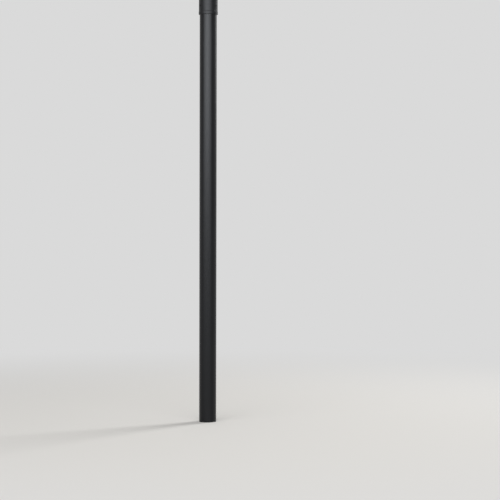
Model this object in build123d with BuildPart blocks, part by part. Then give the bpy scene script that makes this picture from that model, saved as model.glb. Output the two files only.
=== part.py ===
"""A garden lamp post: a round steel post that stands out of the ground, and a four-sided lantern on it.

Millimetres, +Z up. The origin is on the ground, in the middle of the post's foot, and -Y is the front.
A round fitter slips down over the post's top. The lantern's square pan is screwed to the fitter's flange,
four leaning corner bars stand on it with a pane of glass between each two, and a bell-cast roof with a
vent and a finial closes the top. One lamp in a candle sleeve stands inside.
"""

import os
from math import cos, hypot, radians, sin, sqrt

from build123d import *

# Clearance between a screw or pipe and the thread it is screwed into
thread_gap = 0.1

# Post
post_diameter = 76.2
post_wall = 1.9
post_height = 1888.0

# Fitter, the casting that slips over the post's top and flares out to carry the lantern
fitter_grip = 76.0
fitter_gap = 0.6
fitter_wall = 3.1
rim_height = 13.0
rim_step = 0.8
rim_edge = 1.5
fitter_web = 6.0
wire_hole_radius = 10.0
bead_radius = 4.0
bead_above_grip = 8.0
neck_radius = 38.0
neck_rise = 2.0
neck_wall = 4.0
flare_radius = 24.0
flange_edge = 6.0
flare_inner_end = 60.0

# Set screws that lock the fitter on the post
set_screw_radius = 3.0
set_screw_proud = 1.3
set_screw_above_rim = 38.0
set_screw_key = 3.0
set_screw_key_depth = 2.0
set_screw_angles = {"back": 90, "front_left": 210, "front_right": 330}

# Pan, the lantern's square base casting
pan_beyond_flange = 4.0
pan_beyond_rail = 3.0
pan_foot_lip = 3.0
pan_cove_rise = 9.0
pan_cove_sag = 2.4
pan_height = 22.0
pan_floor = 6.0
pan_rim = 12.0
weep_hole_radius = 2.5
weep_hole_from_rim = 14.0

# Screws from the pan into the fitter's flange
pan_screw_radius = 2.5
pan_screw_gap = 0.25
pan_screw_depth = 5.0
pan_screw_head_radius = 4.6
pan_screw_head = 3.2
pan_screw_slot = 1.2
pan_screw_slot_depth = 1.4
pan_screw_angles = {"back": 90, "left": 210, "right": 330}

# Screws from under the pan's corners into the bottom rail, their heads in recesses
cage_screw_radius = 2.0
cage_screw_gap = 0.25
cage_screw_depth = 6.0
cage_screw_inset = 3.0
cage_screw_head_radius = 3.5
cage_screw_head = 3.0
cage_screw_key = 3.0
cage_screw_key_depth = 1.8
cage_screw_recess_radius = 4.2
cage_screw_sunk = 1.0

# Rails, corner bars and glass
rail_beyond_bars = 5.0
rail_width = 19.0
rail_height = 9.0
rail_edge = 2.0
bar_foot_half = 70.0
bar_head_half = 92.0
bar_leg = 15.0
bar_wall = 4.0
cage_height = 225.0
glass_thickness = 3.0
glass_gap = 0.3
glass_groove_gap = 0.9
glass_groove_depth = 3.0
glass_head_groove = 5.0
glass_head_gap = 1.0
head_rail_beyond_bars = 3.0
head_rail_cove_out = 5.0
head_rail_width = 24.0
head_rail_height = 12.0
head_rail_lip = 3.0
head_rail_cove = 6.0
head_rail_sag = 1.2

# Roof
eave_overhang = 18.0
eave_drop = 7.0
eave_edge = 6.0
roof_wall = 2.5
roof_crown_beyond_vent = 8.0
roof_curve_rise = 61.0
roof_curve_sag = 9.0
roof_crown_rise = 8.0
roof_rail_gap = 1.0
roof_seat = 9.0
roof_vent_seat = 6.0

# Vent box and cap
vent_half = 32.0
vent_wall = 2.5
vent_height = 20.0
vent_slot_width = 5.0
vent_slot_height = 12.0
vent_slot_pitch = 14.0
vent_slot_count = 3
cap_overhang = 14.0
cap_drop = 4.0
cap_edge = 4.0
cap_wall = 2.5
cap_crown_beyond_finial = 1.5
cap_curve_rise = 21.0
cap_curve_sag = 4.0
cap_crown_rise = 4.0
cap_seat_overlap = 0.5

# Finial and the tie rod that pulls the roof down
finial_foot_radius = 10.5
finial_foot = 3.0
finial_neck_radius = 4.8
finial_neck = 6.0
finial_neck_sag = 1.5
finial_ball_radius = 11.5
finial_tip_radius = 2.2
finial_tip = 9.0
tie_rod_radius = 3.0
tie_rod_gap = 0.2
tie_rod_in_finial = 15.0
tie_rod_below_bridge = 9.0
tie_nut_across = 10.0
tie_nut = 5.0
bridge_end_gap = 3.0
bridge_width = 18.0
bridge_thickness = 3.0
bridge_screw_from_end = 8.0
bridge_screw_radius = 2.0
bridge_screw_gap = 0.2
bridge_screw_depth = 5.0
bridge_screw_head_radius = 3.8
bridge_screw_head = 2.6
bridge_screw_slot = 1.0
bridge_screw_slot_depth = 1.2

# Lamp holder
nipple_radius = 5.0
nipple_bore_radius = 3.2
nipple_gap = 0.2
nipple_below = 12.0
nipple_in_socket = 14.0
nipple_nut_across = 17.0
nipple_nut = 5.0
cup_beyond_sleeve = 2.0
cup_flare = 7.0
cup_rise = 7.0
cup_wall = 1.5
cup_curve_sag = 1.5
sleeve_wall = 1.2
sleeve_height = 60.0
socket_gap = 0.5
socket_wall = 3.6
socket_height = 54.0
socket_well = 25.0
socket_floor_hole_depth = 20.0

# Bulb
bulb_cap_radius = 13.1
bulb_cap_gap = 0.6
bulb_cap_height = 27.0
bulb_contact_radius = 4.5
bulb_contact = 2.5
bulb_insulator = 4.0
bulb_neck_step = 0.5
bulb_neck = 6.0
bulb_radius = 30.0
bulb_wall = 0.9
bulb_shoulder_angle = 45.0
stem_foot_gap = 2.2
stem_foot = 3.0
stem_radius = 3.4
stem_taper = 12.0
stem_taper_sag = 1.5
stem_below_filaments = 6.0
filament_radius = 1.0
filament_count = 4
filament_turn = 45.0
filament_below_middle = 12.0
filament_above_middle = 20.0
filament_low_radius = 12.0
filament_high_radius = 4.5
filament_hub = 2.0
filament_wire_radius = 0.5

# Sizes and heights that follow from those above
quarter = radians(90)
post_radius = post_diameter / 2
rim_z = post_height - fitter_grip
bore_radius = post_radius + fitter_gap
fitter_radius = bore_radius + fitter_wall
bead_rise = fitter_grip + bead_above_grip
flare_foot = bead_rise + bead_radius + neck_rise
flange_rise = flare_foot + flare_radius + flange_edge
flange_radius = neck_radius + flare_radius
rim_radius = fitter_radius + rim_step
inner_flare_radius = flare_radius + neck_wall
inner_flare_x = flange_radius - inner_flare_radius * cos(radians(flare_inner_end))
inner_flare_y = flare_foot + inner_flare_radius * sin(radians(flare_inner_end))
rail_half = bar_foot_half + rail_beyond_bars
rail_inner_half = rail_half - rail_width
pan_half = rail_half + pan_beyond_rail
pan_foot_half = flange_radius + pan_beyond_flange
head_rail_foot_half = bar_head_half + head_rail_beyond_bars
head_rail_half = head_rail_foot_half + head_rail_cove_out
head_rail_inner_half = head_rail_half - head_rail_width
eave_half = head_rail_half + eave_overhang
roof_hollow_half = head_rail_half - roof_seat
bridge_half_length = roof_hollow_half - bridge_end_gap
roof_crown_half = vent_half + roof_crown_beyond_vent
roof_vent_half = vent_half - roof_vent_seat
cap_half = vent_half + cap_overhang
cap_crown_half = finial_foot_radius + cap_crown_beyond_finial
socket_radius = bulb_cap_radius + bulb_cap_gap + socket_wall
sleeve_radius = socket_radius + socket_gap + sleeve_wall
cup_flat_radius = sleeve_radius + cup_beyond_sleeve
cup_radius = cup_flat_radius + cup_flare
bulb_neck_radius = bulb_cap_radius - bulb_neck_step
stem_foot_radius = bulb_neck_radius - bulb_wall - stem_foot_gap
pan_screw_circle = (inner_flare_x + flange_radius) / 2
pan_screw_places = {
    side: (pan_screw_circle * cos(radians(angle)), pan_screw_circle * sin(radians(angle)))
    for side, angle in pan_screw_angles.items()
}
corners = {"front_left": (-1, -1), "front_right": (1, -1), "back_right": (1, 1), "back_left": (-1, 1)}
cage_screw_recess_top = pan_foot_lip + pan_cove_rise + cage_screw_head + cage_screw_sunk
cage_screw_reach = rail_half - cage_screw_inset
cage_screw_places = {
    corner: (x * cage_screw_reach, y * cage_screw_reach) for corner, (x, y) in corners.items()
}
weep_hole_reach = pan_half - pan_rim - weep_hole_from_rim
weep_hole_places = [(x * weep_hole_reach, y * weep_hole_reach) for x, y in corners.values()]
pan_z = rim_z + flange_rise
floor_z = pan_z + pan_floor
rail_z = pan_z + pan_height
cage_z = rail_z + rail_height
head_rail_z = cage_z + cage_height
roof_z = head_rail_z + head_rail_height
crown_z = roof_z + roof_curve_rise + roof_crown_rise - (eave_drop - eave_edge)
cap_z = crown_z + vent_height
finial_z = cap_z + cap_curve_rise + cap_crown_rise - (cap_drop - cap_edge)
bridge_z = roof_z + bridge_thickness
bridge_screw_x = bridge_half_length - bridge_screw_from_end
bridge_screw_places = {"left": (-bridge_screw_x, 0), "right": (bridge_screw_x, 0)}
cup_z = floor_z + nipple_nut
socket_z = cup_z + cup_wall
bulb_cap_z = socket_z + socket_height - socket_well
bulb_z = bulb_cap_z + bulb_cap_height


def upright(z):
    """The X-Z plane as a drawing sheet with its origin on the post's axis at height z."""
    return Plane(origin=(0, 0, z), x_dir=(1, 0, 0), z_dir=(0, -1, 0))


def upright_side(z):
    """The Y-Z plane as a drawing sheet with its origin on the post's axis at height z."""
    return Plane(origin=(0, 0, z), x_dir=(0, 1, 0), z_dir=(1, 0, 0))


def outward(angle, distance, z):
    """A sheet square to a ray from the axis, at a distance along it."""
    ray = Vector(cos(radians(angle)), sin(radians(angle)), 0)
    return Plane(origin=ray * distance + Vector(0, 0, z), x_dir=(0, 0, 1), z_dir=ray)


def four_sided(outline, z, reach):
    """A four-sided form from half its elevation: what a front-to-back and a side-to-side sweep share."""
    with BuildPart() as form:
        with BuildSketch(upright(z)):
            add(outline)
            mirror(outline, about=Plane.YZ)
        extrude(amount=reach, both=True)
        with BuildSketch(upright_side(z)):
            add(outline)
            mirror(outline, about=Plane.YZ)
        extrude(amount=reach, both=True, mode=Mode.INTERSECT)
    return form.part


def headed_screw(seat, radius, length, head_radius, head, drive, drive_depth):
    """A screw: its head stands on the seat with the drive cut in it, its shank goes back from there."""
    with BuildPart() as screw:
        with BuildSketch(seat):
            Circle(radius)
        extrude(amount=-length)
        with BuildSketch(seat):
            Circle(head_radius)
        extrude(amount=head)
        with BuildSketch(seat.offset(head)):
            add(drive)
        extrude(amount=-drive_depth, mode=Mode.SUBTRACT)
    return screw.part


class BellCurve:
    """The hollow-backed curve of a roof, an arc that is flat at the eave and steep at the crown."""

    def __init__(self, eave_x, eave_y, crown_x, crown_y, sag):
        run, rise = crown_x - eave_x, crown_y - eave_y
        chord = hypot(run, rise)
        self.radius = (chord**2 / 4 + sag**2) / (2 * sag)
        away = self.radius - sag
        self.x = (eave_x + crown_x) / 2 + away * rise / chord
        self.y = (eave_y + crown_y) / 2 - away * run / chord

    def height(self, x, inside=0.0):
        """The curve's height at a half width, or that of the curve a wall's thickness inside it."""
        return self.y - sqrt((self.radius + inside) ** 2 - (self.x - x) ** 2)

    def arc(self, x_from, x_to, inside=0.0):
        """The stretch of arc between two half widths."""
        middle = (x_from + x_to) / 2
        return ThreePointArc(*[(x, self.height(x, inside)) for x in (x_from, middle, x_to)])


# Post tube
with BuildPart() as post_tube:
    with BuildSketch():
        Circle(post_radius)
        Circle(post_radius - post_wall, mode=Mode.SUBTRACT)
    extrude(amount=post_height)

# Fitter, turned in one profile, with its rim's lower edge rounded and its three tapped holes
with BuildPart() as fitter:
    with BuildSketch(upright(rim_z)):
        with BuildLine():
            Line((bore_radius, 0), (rim_radius - rim_edge, 0))
            ThreePointArc(
                (rim_radius - rim_edge, 0),
                (rim_radius - rim_edge * (1 - sin(quarter / 2)), rim_edge * (1 - cos(quarter / 2))),
                (rim_radius, rim_edge),
            )
            Polyline(
                (rim_radius, rim_edge),
                (rim_radius, rim_height),
                (fitter_radius, rim_height + rim_step),
                (fitter_radius, bead_rise - bead_radius),
            )
            ThreePointArc(
                (fitter_radius, bead_rise - bead_radius),
                (fitter_radius + bead_radius, bead_rise),
                (fitter_radius, bead_rise + bead_radius),
            )
            Polyline(
                (fitter_radius, bead_rise + bead_radius),
                (neck_radius, bead_rise + bead_radius),
                (neck_radius, flare_foot),
            )
            ThreePointArc(
                (neck_radius, flare_foot),
                (
                    flange_radius - flare_radius * cos(quarter / 2),
                    flare_foot + flare_radius * sin(quarter / 2),
                ),
                (flange_radius, flare_foot + flare_radius),
            )
            Polyline(
                (flange_radius, flare_foot + flare_radius),
                (flange_radius, flange_rise),
                (inner_flare_x, flange_rise),
                (inner_flare_x, inner_flare_y),
            )
            ThreePointArc(
                (inner_flare_x, inner_flare_y),
                (
                    flange_radius - inner_flare_radius * cos(radians(flare_inner_end / 2)),
                    flare_foot + inner_flare_radius * sin(radians(flare_inner_end / 2)),
                ),
                (neck_radius - neck_wall, flare_foot),
            )
            Polyline(
                (neck_radius - neck_wall, flare_foot),
                (neck_radius - neck_wall, fitter_grip + fitter_web),
                (wire_hole_radius, fitter_grip + fitter_web),
                (wire_hole_radius, fitter_grip),
                (bore_radius, fitter_grip),
                (bore_radius, 0),
            )
        make_face()
    revolve(axis=Axis.Z)
    for angle in set_screw_angles.values():
        with BuildSketch(outward(angle, 0, rim_z + set_screw_above_rim)):
            Circle(set_screw_radius + thread_gap)
        extrude(amount=fitter_radius + bead_radius, mode=Mode.SUBTRACT)
    with BuildSketch(Plane.XY.offset(pan_z)):
        with Locations(*pan_screw_places.values()):
            Circle(pan_screw_radius + thread_gap)
    extrude(amount=-pan_screw_depth, mode=Mode.SUBTRACT)

# Set screws, headless with a hexagon socket, their points on the post
set_screws = {}
for side, angle in set_screw_angles.items():
    screw_end = fitter_radius + set_screw_proud
    with BuildPart() as set_screw:
        with BuildSketch(outward(angle, post_radius, rim_z + set_screw_above_rim)):
            Circle(set_screw_radius)
        extrude(amount=screw_end - post_radius)
        with BuildSketch(outward(angle, screw_end, rim_z + set_screw_above_rim)):
            RegularPolygon(set_screw_key / 2, 6, major_radius=False)
        extrude(amount=-set_screw_key_depth, mode=Mode.SUBTRACT)
    set_screws[side] = set_screw.part

# Pan, a square dish with a hollow moulding round its foot and a weep hole near each corner
with BuildSketch() as pan_outline:
    with BuildLine():
        Polyline((0, 0), (pan_foot_half, 0), (pan_foot_half, pan_foot_lip))
        SagittaArc(
            (pan_foot_half, pan_foot_lip),
            (pan_half, pan_foot_lip + pan_cove_rise),
            pan_cove_sag,
        )
        Polyline(
            (pan_half, pan_foot_lip + pan_cove_rise),
            (pan_half, pan_height),
            (0, pan_height),
            (0, 0),
        )
    make_face()
pan_form = four_sided(pan_outline.sketch, pan_z, 2 * pan_half)
with BuildPart() as pan:
    add(pan_form)
    with BuildSketch(Plane.XY.offset(floor_z)):
        Rectangle(2 * (pan_half - pan_rim), 2 * (pan_half - pan_rim))
    extrude(amount=pan_height - pan_floor, mode=Mode.SUBTRACT)
    with BuildSketch(Plane.XY.offset(pan_z)):
        Circle(nipple_radius + nipple_gap)
        with Locations(*pan_screw_places.values()):
            Circle(pan_screw_radius + pan_screw_gap)
        with Locations(*weep_hole_places):
            Circle(weep_hole_radius)
    extrude(amount=pan_floor, mode=Mode.SUBTRACT)
    with BuildSketch(Plane.XY.offset(pan_z)):
        with Locations(*cage_screw_places.values()):
            Circle(cage_screw_recess_radius)
    extrude(amount=cage_screw_recess_top, mode=Mode.SUBTRACT)
    with BuildSketch(Plane.XY.offset(pan_z)):
        with Locations(*cage_screw_places.values()):
            Circle(cage_screw_radius + cage_screw_gap)
    extrude(amount=pan_height, mode=Mode.SUBTRACT)

# Screws that hold the pan on the flange, with slotted heads
with BuildSketch() as pan_screw_drive:
    Rectangle(2 * pan_screw_head_radius, pan_screw_slot)
pan_screws = {
    side: headed_screw(
        Plane((x, y, floor_z)),
        pan_screw_radius,
        pan_floor + pan_screw_depth,
        pan_screw_head_radius,
        pan_screw_head,
        pan_screw_drive.sketch,
        pan_screw_slot_depth,
    )
    for side, (x, y) in pan_screw_places.items()
}

# Screws under the pan's corners, with hexagon sockets
with BuildSketch() as cage_screw_drive:
    RegularPolygon(cage_screw_key / 2, 6, major_radius=False)
cage_screws = {
    corner: headed_screw(
        Plane(origin=(x, y, pan_z + cage_screw_recess_top), z_dir=(0, 0, -1)),
        cage_screw_radius,
        pan_height - cage_screw_recess_top + cage_screw_depth,
        cage_screw_head_radius,
        cage_screw_head,
        cage_screw_drive.sketch,
        cage_screw_key_depth,
    )
    for corner, (x, y) in cage_screw_places.items()
}

# Glass: where a pane's outer face and its edges lie at any height of the cage
lean = (bar_head_half - bar_foot_half) / cage_height
slant = sqrt(1 + lean**2)


def glass_face(height):
    """How far a pane's outer face is from the axis at a height above the corner bars' feet."""
    return bar_foot_half + lean * height - bar_wall - glass_gap


def pane_half(height):
    """A pane's half width there, short of the faces of the two panes beside it."""
    return glass_face(height) - glass_thickness * slant - glass_gap


pane_foot = -glass_groove_depth
pane_head = cage_height + glass_head_groove - glass_head_gap

# Bottom rail, a square ring on the pan's rim with a groove for the panes
with BuildPart() as bottom_rail:
    with BuildSketch(Plane.XY.offset(rail_z)):
        Rectangle(2 * rail_half, 2 * rail_half)
    extrude(amount=rail_height)
    chamfer(bottom_rail.faces().sort_by(Axis.Z)[-1].edges(), length=rail_edge)
    with BuildSketch(Plane.XY.offset(rail_z)):
        Rectangle(2 * rail_inner_half, 2 * rail_inner_half)
    extrude(amount=rail_height, mode=Mode.SUBTRACT)
    groove_out = 2 * (glass_face(0) + glass_groove_gap)
    groove_in = 2 * (glass_face(pane_foot) - glass_thickness * slant - glass_groove_gap)
    with BuildSketch(Plane.XY.offset(cage_z)):
        Rectangle(groove_out, groove_out)
        Rectangle(groove_in, groove_in, mode=Mode.SUBTRACT)
    extrude(amount=-glass_groove_depth, mode=Mode.SUBTRACT)
    with BuildSketch(Plane.XY.offset(rail_z)):
        with Locations(*cage_screw_places.values()):
            Circle(cage_screw_radius + thread_gap)
    extrude(amount=cage_screw_depth, mode=Mode.SUBTRACT)

# Corner bars, one angle section each, drawn at the foot and run up the cage's lean
corner_bars = {}
for corner, (sx, sy) in corners.items():
    heel, toe, inside = bar_foot_half, bar_foot_half - bar_leg, bar_foot_half - bar_wall
    rise = Vector(sx * lean, sy * lean, 1)
    with BuildPart() as corner_bar:
        with BuildSketch(Plane.XY.offset(cage_z)):
            with BuildLine():
                Polyline(
                    (sx * heel, sy * heel),
                    (sx * toe, sy * heel),
                    (sx * toe, sy * inside),
                    (sx * inside, sy * inside),
                    (sx * inside, sy * toe),
                    (sx * heel, sy * toe),
                    close=True,
                )
            make_face()
        extrude(amount=cage_height * rise.length, dir=rise.normalized())
    corner_bars[corner] = corner_bar.part

# Glass panes, leaning with the bars, their square-cut lower edge standing in the bottom rail's groove
panes = {}
for side, angle in {"front": 270, "right": 0, "back": 90, "left": 180}.items():
    ray = Vector(cos(radians(angle)), sin(radians(angle)), 0)
    normal = (ray - Vector(0, 0, lean)).normalized()
    foot = ray * glass_face(pane_foot) + Vector(0, 0, cage_z + pane_foot)
    with BuildPart() as pane:
        with BuildSketch(Plane(origin=foot, x_dir=Vector(0, 0, 1).cross(ray), z_dir=normal)):
            with BuildLine():
                Polyline(
                    (-pane_half(pane_foot), 0),
                    (pane_half(pane_foot), 0),
                    (pane_half(pane_head), (pane_head - pane_foot) * slant),
                    (-pane_half(pane_head), (pane_head - pane_foot) * slant),
                    close=True,
                )
            make_face()
        extrude(amount=-glass_thickness)
    panes[side] = pane.part

# Head rail, a square ring on the bars' heads with a hollow moulding and a groove for the panes
with BuildSketch() as head_rail_outline:
    with BuildLine():
        Polyline((0, 0), (head_rail_foot_half, 0), (head_rail_foot_half, head_rail_lip))
        SagittaArc(
            (head_rail_foot_half, head_rail_lip),
            (head_rail_half, head_rail_lip + head_rail_cove),
            head_rail_sag,
        )
        Polyline(
            (head_rail_half, head_rail_lip + head_rail_cove),
            (head_rail_half, head_rail_height),
            (0, head_rail_height),
            (0, 0),
        )
    make_face()
head_rail_form = four_sided(head_rail_outline.sketch, head_rail_z, 2 * head_rail_half)
with BuildPart() as head_rail:
    add(head_rail_form)
    with BuildSketch(Plane.XY.offset(head_rail_z)):
        Rectangle(2 * head_rail_inner_half, 2 * head_rail_inner_half)
    extrude(amount=head_rail_height, mode=Mode.SUBTRACT)
    head_groove_out = 2 * (glass_face(pane_head) + glass_groove_gap)
    head_groove_in = 2 * (glass_face(cage_height) - glass_thickness * slant - glass_groove_gap)
    with BuildSketch(Plane.XY.offset(head_rail_z)):
        Rectangle(head_groove_out, head_groove_out)
        Rectangle(head_groove_in, head_groove_in, mode=Mode.SUBTRACT)
    extrude(amount=glass_head_groove, mode=Mode.SUBTRACT)
    with BuildSketch(Plane.XY.offset(roof_z)):
        with Locations(*bridge_screw_places.values()):
            Circle(bridge_screw_radius + thread_gap)
    extrude(amount=-bridge_screw_depth, mode=Mode.SUBTRACT)

# Roof, a bell-cast shell with a turned-down eave, open under the vent
eave_y = eave_edge - eave_drop
roof_curve = BellCurve(eave_half, eave_y, roof_crown_half, eave_y + roof_curve_rise, roof_curve_sag)
with BuildSketch() as roof_outline:
    with BuildLine():
        Polyline((0, -eave_drop), (eave_half, -eave_drop), (eave_half, eave_y))
        roof_curve.arc(eave_half, roof_crown_half)
        Polyline(
            (roof_crown_half, roof_curve.height(roof_crown_half)),
            (roof_crown_half, crown_z - roof_z),
            (0, crown_z - roof_z),
            (0, -eave_drop),
        )
    make_face()
roof_hollow_side = roof_curve.height(roof_hollow_half, roof_wall)
inner_crown_half = roof_crown_half - roof_wall
inner_crown_foot = roof_curve.height(inner_crown_half, roof_wall)
inner_crown_top = crown_z - roof_z - roof_wall
with BuildSketch() as roof_hollow_outline:
    with BuildLine():
        Polyline((0, 0), (roof_hollow_half, 0), (roof_hollow_half, roof_hollow_side))
        roof_curve.arc(roof_hollow_half, inner_crown_half, roof_wall)
        Polyline(
            (inner_crown_half, inner_crown_foot),
            (inner_crown_half, inner_crown_top),
            (0, inner_crown_top),
            (0, 0),
        )
    make_face()
roof_form = four_sided(roof_outline.sketch, roof_z, 2 * eave_half)
roof_hollow = four_sided(roof_hollow_outline.sketch, roof_z, 2 * eave_half)
with BuildPart() as roof:
    add(roof_form)
    add(roof_hollow, mode=Mode.SUBTRACT)
    with BuildSketch(Plane.XY.offset(roof_z - eave_drop)):
        Rectangle(2 * (eave_half - roof_wall), 2 * (eave_half - roof_wall))
    extrude(amount=eave_edge - roof_wall, mode=Mode.SUBTRACT)
    with BuildSketch(Plane.XY.offset(roof_z - eave_drop)):
        Rectangle(2 * (head_rail_half + roof_rail_gap), 2 * (head_rail_half + roof_rail_gap))
    extrude(amount=eave_drop, mode=Mode.SUBTRACT)
    with BuildSketch(Plane.XY.offset(crown_z)):
        Rectangle(2 * roof_vent_half, 2 * roof_vent_half)
    extrude(amount=-2 * roof_wall, mode=Mode.SUBTRACT)

# Vent box, a square tube with slots in all four sides
vent_middle = crown_z + vent_height / 2
with BuildPart() as vent:
    with BuildSketch(Plane.XY.offset(crown_z)):
        Rectangle(2 * vent_half, 2 * vent_half)
        Rectangle(2 * (vent_half - vent_wall), 2 * (vent_half - vent_wall), mode=Mode.SUBTRACT)
    extrude(amount=vent_height)
    for sheet in (upright(vent_middle), upright_side(vent_middle)):
        with BuildSketch(sheet):
            with GridLocations(vent_slot_pitch, vent_height, vent_slot_count, 1):
                SlotOverall(vent_slot_height, vent_slot_width, rotation=90)
        extrude(amount=2 * vent_half, both=True, mode=Mode.SUBTRACT)

# Vent cap, a small roof of the same kind
cap_y = cap_edge - cap_drop
cap_curve = BellCurve(cap_half, cap_y, cap_crown_half, cap_y + cap_curve_rise, cap_curve_sag)
with BuildSketch() as cap_outline:
    with BuildLine():
        Polyline((0, -cap_drop), (cap_half, -cap_drop), (cap_half, cap_y))
        cap_curve.arc(cap_half, cap_crown_half)
        Polyline(
            (cap_crown_half, cap_curve.height(cap_crown_half)),
            (cap_crown_half, finial_z - cap_z),
            (0, finial_z - cap_z),
            (0, -cap_drop),
        )
    make_face()
cap_hollow_half = vent_half - vent_wall - cap_seat_overlap
cap_hollow_side = cap_curve.height(cap_hollow_half, cap_wall)
cap_hollow_top_half = cap_crown_half - cap_wall
cap_hollow_top = cap_curve.height(cap_hollow_top_half, cap_wall)
with BuildSketch() as cap_hollow_outline:
    with BuildLine():
        Polyline((0, 0), (cap_hollow_half, 0), (cap_hollow_half, cap_hollow_side))
        cap_curve.arc(cap_hollow_half, cap_hollow_top_half, cap_wall)
        Polyline((cap_hollow_top_half, cap_hollow_top), (0, cap_hollow_top), (0, 0))
    make_face()
cap_form = four_sided(cap_outline.sketch, cap_z, 2 * cap_half)
cap_hollow = four_sided(cap_hollow_outline.sketch, cap_z, 2 * cap_half)
with BuildPart() as vent_cap:
    add(cap_form)
    add(cap_hollow, mode=Mode.SUBTRACT)
    with BuildSketch(Plane.XY.offset(cap_z - cap_drop)):
        Rectangle(2 * (cap_half - cap_wall), 2 * (cap_half - cap_wall))
    extrude(amount=cap_drop, mode=Mode.SUBTRACT)
    with BuildSketch(Plane.XY.offset(finial_z)):
        Circle(tie_rod_radius + tie_rod_gap)
    extrude(amount=cap_z - finial_z, mode=Mode.SUBTRACT)

# Bridge, the strap across the head rail that the tie rod pulls on, and its screws
with BuildPart() as bridge:
    with BuildSketch(Plane.XY.offset(roof_z)):
        SlotOverall(2 * bridge_half_length, bridge_width)
        Circle(tie_rod_radius + tie_rod_gap, mode=Mode.SUBTRACT)
        with Locations(*bridge_screw_places.values()):
            Circle(bridge_screw_radius + bridge_screw_gap, mode=Mode.SUBTRACT)
    extrude(amount=bridge_thickness)
with BuildSketch() as bridge_screw_drive:
    Rectangle(2 * bridge_screw_head_radius, bridge_screw_slot)
bridge_screws = {
    side: headed_screw(
        Plane((x, y, bridge_z)),
        bridge_screw_radius,
        bridge_thickness + bridge_screw_depth,
        bridge_screw_head_radius,
        bridge_screw_head,
        bridge_screw_drive.sketch,
        bridge_screw_slot_depth,
    )
    for side, (x, y) in bridge_screw_places.items()
}

# Tie rod from under the bridge to the finial, and its nut
tie_rod_foot = roof_z - tie_rod_below_bridge
with BuildPart() as tie_rod:
    with BuildSketch(Plane.XY.offset(tie_rod_foot)):
        Circle(tie_rod_radius)
    extrude(amount=finial_z + tie_rod_in_finial - tie_rod_foot)
with BuildPart() as tie_rod_nut:
    with BuildSketch(Plane.XY.offset(roof_z)):
        RegularPolygon(tie_nut_across / 2, 6, major_radius=False)
        Circle(tie_rod_radius + thread_gap, mode=Mode.SUBTRACT)
    extrude(amount=-tie_nut)

# Finial, turned with a blind hole for the tie rod
ball_y = finial_foot + finial_neck + sqrt(finial_ball_radius**2 - finial_neck_radius**2)
ball_top = ball_y + sqrt(finial_ball_radius**2 - finial_tip_radius**2)
with BuildPart() as finial:
    with BuildSketch(upright(finial_z)):
        with BuildLine():
            Polyline((0, 0), (finial_foot_radius, 0), (finial_foot_radius, finial_foot))
            SagittaArc(
                (finial_foot_radius, finial_foot),
                (finial_neck_radius, finial_foot + finial_neck),
                finial_neck_sag,
            )
            ThreePointArc(
                (finial_neck_radius, finial_foot + finial_neck),
                (finial_ball_radius, ball_y),
                (finial_tip_radius, ball_top),
            )
            Polyline((finial_tip_radius, ball_top), (0, ball_top + finial_tip), (0, 0))
        make_face()
    revolve(axis=Axis.Z)
    with BuildSketch(Plane.XY.offset(finial_z)):
        Circle(tie_rod_radius + thread_gap)
    extrude(amount=tie_rod_in_finial + tie_rod_gap, mode=Mode.SUBTRACT)

# Nipple that carries the lamp through the pan's floor, and its two nuts
nipple_foot = pan_z - nipple_below
with BuildPart() as nipple:
    with BuildSketch(Plane.XY.offset(nipple_foot)):
        Circle(nipple_radius)
        Circle(nipple_bore_radius, mode=Mode.SUBTRACT)
    extrude(amount=socket_z + nipple_in_socket - nipple_foot)
nipple_nuts = {}
for place, z_low in {"under_pan": pan_z - nipple_nut, "on_pan": floor_z}.items():
    with BuildPart() as nipple_nut_part:
        with BuildSketch(Plane.XY.offset(z_low)):
            RegularPolygon(nipple_nut_across / 2, 6, major_radius=False)
            Circle(nipple_radius + thread_gap, mode=Mode.SUBTRACT)
        extrude(amount=nipple_nut)
    nipple_nuts[place] = nipple_nut_part.part

# Drip cup, a spun dish under the candle sleeve
cup_hole_radius = nipple_radius + nipple_gap
cup_inner_flat = cup_flat_radius - cup_wall / 2
with BuildPart() as drip_cup:
    with BuildSketch(upright(cup_z)):
        with BuildLine():
            Line((cup_hole_radius, 0), (cup_flat_radius, 0))
            SagittaArc((cup_flat_radius, 0), (cup_radius, cup_rise), -cup_curve_sag)
            Line((cup_radius, cup_rise), (cup_radius - cup_wall, cup_rise))
            SagittaArc((cup_radius - cup_wall, cup_rise), (cup_inner_flat, cup_wall), cup_curve_sag)
            Polyline((cup_inner_flat, cup_wall), (cup_hole_radius, cup_wall), (cup_hole_radius, 0))
        make_face()
    revolve(axis=Axis.Z)

# Candle sleeve
with BuildPart() as candle_sleeve:
    with BuildSketch(Plane.XY.offset(socket_z)):
        Circle(sleeve_radius)
        Circle(sleeve_radius - sleeve_wall, mode=Mode.SUBTRACT)
    extrude(amount=sleeve_height)

# Lamp socket inside the sleeve, screwed on the nipple
with BuildPart() as lamp_socket:
    with BuildSketch(Plane.XY.offset(socket_z)):
        Circle(socket_radius)
    extrude(amount=socket_height)
    with BuildSketch(Plane.XY.offset(socket_z + socket_height)):
        Circle(bulb_cap_radius + bulb_cap_gap)
    extrude(amount=-socket_well, mode=Mode.SUBTRACT)
    with BuildSketch(Plane.XY.offset(socket_z)):
        Circle(nipple_radius + thread_gap)
    extrude(amount=socket_floor_hole_depth, mode=Mode.SUBTRACT)

# Bulb's metal screw cap, standing on its contact
with BuildPart() as bulb_cap:
    with BuildSketch(upright(bulb_cap_z)):
        with BuildLine():
            Polyline(
                (0, 0),
                (bulb_contact_radius, 0),
                (bulb_contact_radius, bulb_contact),
                (bulb_cap_radius, bulb_contact + bulb_insulator),
                (bulb_cap_radius, bulb_cap_height),
                (0, bulb_cap_height),
                (0, 0),
            )
        make_face()
    revolve(axis=Axis.Z)

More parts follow.
